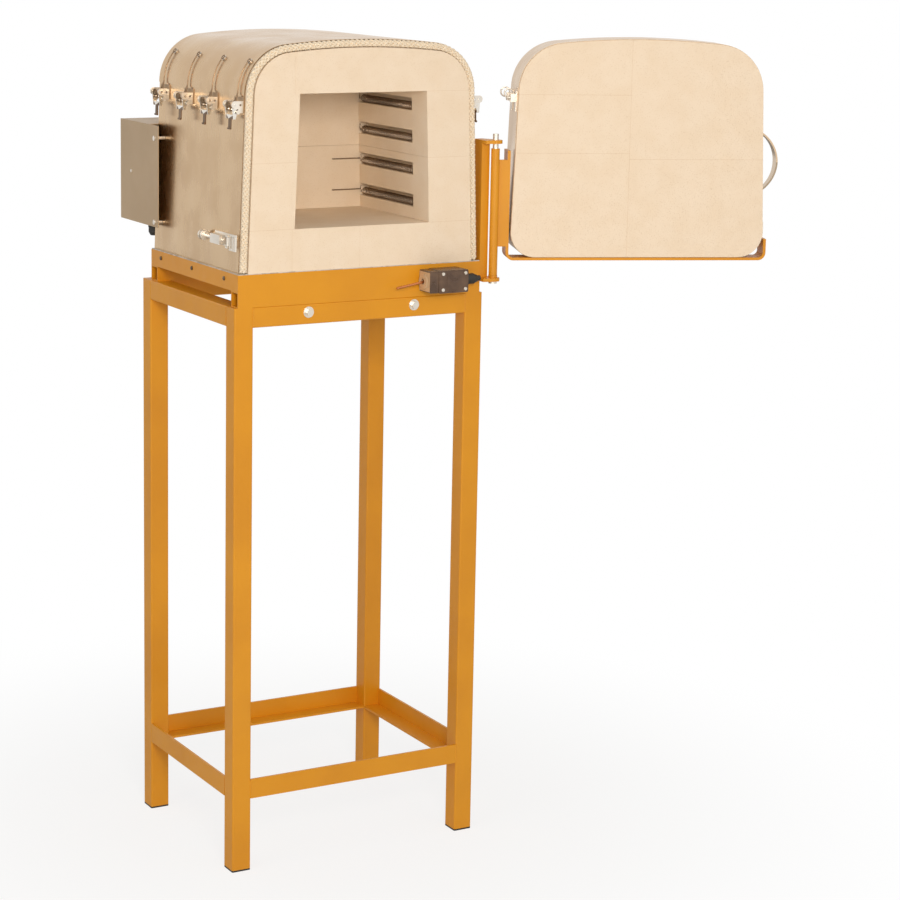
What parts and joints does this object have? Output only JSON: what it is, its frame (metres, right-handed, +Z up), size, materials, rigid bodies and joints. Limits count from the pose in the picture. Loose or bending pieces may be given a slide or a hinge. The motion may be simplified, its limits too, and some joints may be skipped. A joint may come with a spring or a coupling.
{
  "type": "jewellery kiln",
  "caption": "Front-opening electric kiln of fire bricks in a stainless shell with a side-hinged door, on a tall tube stand.",
  "frame": {"origin": "centre of the stand's footprint, on the floor", "axes": "+Z up, -Y towards the user (the chamber's mouth), +X to the user's right (the hinge side)"},
  "size_m": [1.0076, 0.6834, 1.448],
  "materials": {
    "yellow_paint": "semi-gloss powder coat",
    "black_plastic": "matt",
    "bright_steel": "bright plated",
    "lever_steel": "plated, dull",
    "shell_steel": "bright stainless with a warm reflection",
    "galvanised": "galvanised",
    "fire_brick": "porous, matt",
    "ceramic_rope": "braided, matt",
    "coil_wire": "oxidised wire",
    "sheath_ceramic": "unglazed",
    "box_paint": "satin",
    "switch_housing": "dark, satin",
    "copper_rod": "copper coloured"
  },
  "bodies": {
    "root": {"leg_front_left": "yellow_paint", "leg_front_right": "yellow_paint", "leg_rear_left": "yellow_paint", "leg_rear_right": "yellow_paint", "top_rails": "yellow_paint", "lower_rails": "yellow_paint", "foot_caps": "black_plastic", "frame_screws": "bright_steel", "cross_beams": "yellow_paint", "base_frame": "yellow_paint", "floor_pan": "galvanised", "floor_bricks": "fire_brick", "left_wall_bricks": "fire_brick", "right_wall_bricks": "fire_brick", "roof_bricks": "fire_brick", "rear_wall_bricks": "fire_brick", "side_sheet_left": "shell_steel", "side_sheet_right": "shell_steel", "top_sheet": "shell_steel", "back_panel": "shell_steel", "rope_seal": "ceramic_rope", "heating_coils": "coil_wire", "coil_leads": "coil_wire", "thermocouple": "sheath_ceramic", "terminal_block": "sheath_ceramic", "terminal_box": "box_paint", "box_fixings": "bright_steel", "cable_glands": "black_plastic", "latch_brackets": "bright_steel", "hinge_post": "yellow_paint", "hinge_pin": "bright_steel", "switch_body": "switch_housing", "lock_base": "bright_steel"},
    "door": {"door_bricks": "fire_brick", "door_band": "shell_steel", "door_back": "shell_steel", "door_carrier": "yellow_paint", "door_handle": "shell_steel", "door_fittings": "bright_steel"},
    "switch_rod": {"switch_rod": "copper_rod"},
    "lock_bail": {"lock_bail": "bright_steel"},
    "lock_knob": {"lock_knob": "bright_steel"},
    "latch_lever_left_1": {"latch_lever_left_1": "lever_steel"},
    "latch_bail_left_1": {"latch_bail_left_1": "bright_steel"},
    "latch_lever_left_2": {"latch_lever_left_2": "lever_steel"},
    "latch_bail_left_2": {"latch_bail_left_2": "bright_steel"},
    "latch_lever_left_3": {"latch_lever_left_3": "lever_steel"},
    "latch_bail_left_3": {"latch_bail_left_3": "bright_steel"},
    "latch_lever_left_4": {"latch_lever_left_4": "lever_steel"},
    "latch_bail_left_4": {"latch_bail_left_4": "bright_steel"},
    "latch_lever_right_1": {"latch_lever_right_1": "lever_steel"},
    "latch_bail_right_1": {"latch_bail_right_1": "bright_steel"},
    "latch_lever_right_2": {"latch_lever_right_2": "lever_steel"},
    "latch_bail_right_2": {"latch_bail_right_2": "bright_steel"},
    "latch_lever_right_3": {"latch_lever_right_3": "lever_steel"},
    "latch_bail_right_3": {"latch_bail_right_3": "bright_steel"},
    "latch_lever_right_4": {"latch_lever_right_4": "lever_steel"},
    "latch_bail_right_4": {"latch_bail_right_4": "bright_steel"}
  },
  "joints": [
    {"name": "door_hinge", "type": "hinge", "parent": "root", "child": "door", "pos_m": [0.259, -0.202, 1.15], "axis": [0, 0, 1], "range_deg": [-158, 15]},
    {"name": "switch_rod_tilt", "type": "hinge", "parent": "root", "child": "switch_rod", "pos_m": [0.115, -0.215, 1.029], "axis": [0, 1, 0], "range_deg": [-8, 8], "stiffness_Nm_per_rad": 0.5},
    {"name": "lock_bail_swing", "type": "hinge", "parent": "root", "child": "lock_bail", "pos_m": [-0.23903, -0.1635, 1.10985], "axis": [0.0358, 0, 0.9994], "range_deg": [-100, 0]},
    {"name": "lock_knob_turn", "type": "hinge", "parent": "root", "child": "lock_knob", "pos_m": [-0.23903, -0.1235, 1.10985], "axis": [0, 1, 0], "continuous": true},
    {"name": "latch_left_1_open", "type": "hinge", "parent": "root", "child": "latch_lever_left_1", "pos_m": [-0.23578, -0.164, 1.34053], "axis": [0, 1, 0], "range_deg": [0, 110]},
    {"name": "bail_left_1_turn", "type": "hinge", "parent": "latch_lever_left_1", "child": "latch_bail_left_1", "pos_m": [-0.23209, -0.164, 1.3319], "axis": [0, 1, 0], "range_deg": [-110, 0]},
    {"name": "latch_left_2_open", "type": "hinge", "parent": "root", "child": "latch_lever_left_2", "pos_m": [-0.23578, -0.062, 1.34053], "axis": [0, 1, 0], "range_deg": [0, 110]},
    {"name": "bail_left_2_turn", "type": "hinge", "parent": "latch_lever_left_2", "child": "latch_bail_left_2", "pos_m": [-0.23209, -0.062, 1.3319], "axis": [0, 1, 0], "range_deg": [-110, 0]},
    {"name": "latch_left_3_open", "type": "hinge", "parent": "root", "child": "latch_lever_left_3", "pos_m": [-0.23578, 0.04, 1.34053], "axis": [0, 1, 0], "range_deg": [0, 110]},
    {"name": "bail_left_3_turn", "type": "hinge", "parent": "latch_lever_left_3", "child": "latch_bail_left_3", "pos_m": [-0.23209, 0.04, 1.3319], "axis": [0, 1, 0], "range_deg": [-110, 0]},
    {"name": "latch_left_4_open", "type": "hinge", "parent": "root", "child": "latch_lever_left_4", "pos_m": [-0.23578, 0.142, 1.34053], "axis": [0, 1, 0], "range_deg": [0, 110]},
    {"name": "bail_left_4_turn", "type": "hinge", "parent": "latch_lever_left_4", "child": "latch_bail_left_4", "pos_m": [-0.23209, 0.142, 1.3319], "axis": [0, 1, 0], "range_deg": [-110, 0]},
    {"name": "latch_right_1_open", "type": "hinge", "parent": "root", "child": "latch_lever_right_1", "pos_m": [0.23578, -0.164, 1.34053], "axis": [0, -1, 0], "range_deg": [0, 110]},
    {"name": "bail_right_1_turn", "type": "hinge", "parent": "latch_lever_right_1", "child": "latch_bail_right_1", "pos_m": [0.23209, -0.164, 1.3319], "axis": [0, -1, 0], "range_deg": [-110, 0]},
    {"name": "latch_right_2_open", "type": "hinge", "parent": "root", "child": "latch_lever_right_2", "pos_m": [0.23578, -0.062, 1.34053], "axis": [0, -1, 0], "range_deg": [0, 110]},
    {"name": "bail_right_2_turn", "type": "hinge", "parent": "latch_lever_right_2", "child": "latch_bail_right_2", "pos_m": [0.23209, -0.062, 1.3319], "axis": [0, -1, 0], "range_deg": [-110, 0]},
    {"name": "latch_right_3_open", "type": "hinge", "parent": "root", "child": "latch_lever_right_3", "pos_m": [0.23578, 0.04, 1.34053], "axis": [0, -1, 0], "range_deg": [0, 110]},
    {"name": "bail_right_3_turn", "type": "hinge", "parent": "latch_lever_right_3", "child": "latch_bail_right_3", "pos_m": [0.23209, 0.04, 1.3319], "axis": [0, -1, 0], "range_deg": [-110, 0]},
    {"name": "latch_right_4_open", "type": "hinge", "parent": "root", "child": "latch_lever_right_4", "pos_m": [0.23578, 0.142, 1.34053], "axis": [0, -1, 0], "range_deg": [0, 110]},
    {"name": "bail_right_4_turn", "type": "hinge", "parent": "latch_lever_right_4", "child": "latch_bail_right_4", "pos_m": [0.23209, 0.142, 1.3319], "axis": [0, -1, 0], "range_deg": [-110, 0]}
  ],
  "couplings": [
    {"joint": "bail_left_1_turn", "follows": "latch_left_1_open", "ratio": -1},
    {"joint": "bail_left_2_turn", "follows": "latch_left_2_open", "ratio": -1},
    {"joint": "bail_left_3_turn", "follows": "latch_left_3_open", "ratio": -1},
    {"joint": "bail_left_4_turn", "follows": "latch_left_4_open", "ratio": -1},
    {"joint": "bail_right_1_turn", "follows": "latch_right_1_open", "ratio": -1},
    {"joint": "bail_right_2_turn", "follows": "latch_right_2_open", "ratio": -1},
    {"joint": "bail_right_3_turn", "follows": "latch_right_3_open", "ratio": -1},
    {"joint": "bail_right_4_turn", "follows": "latch_right_4_open", "ratio": -1}
  ]
}
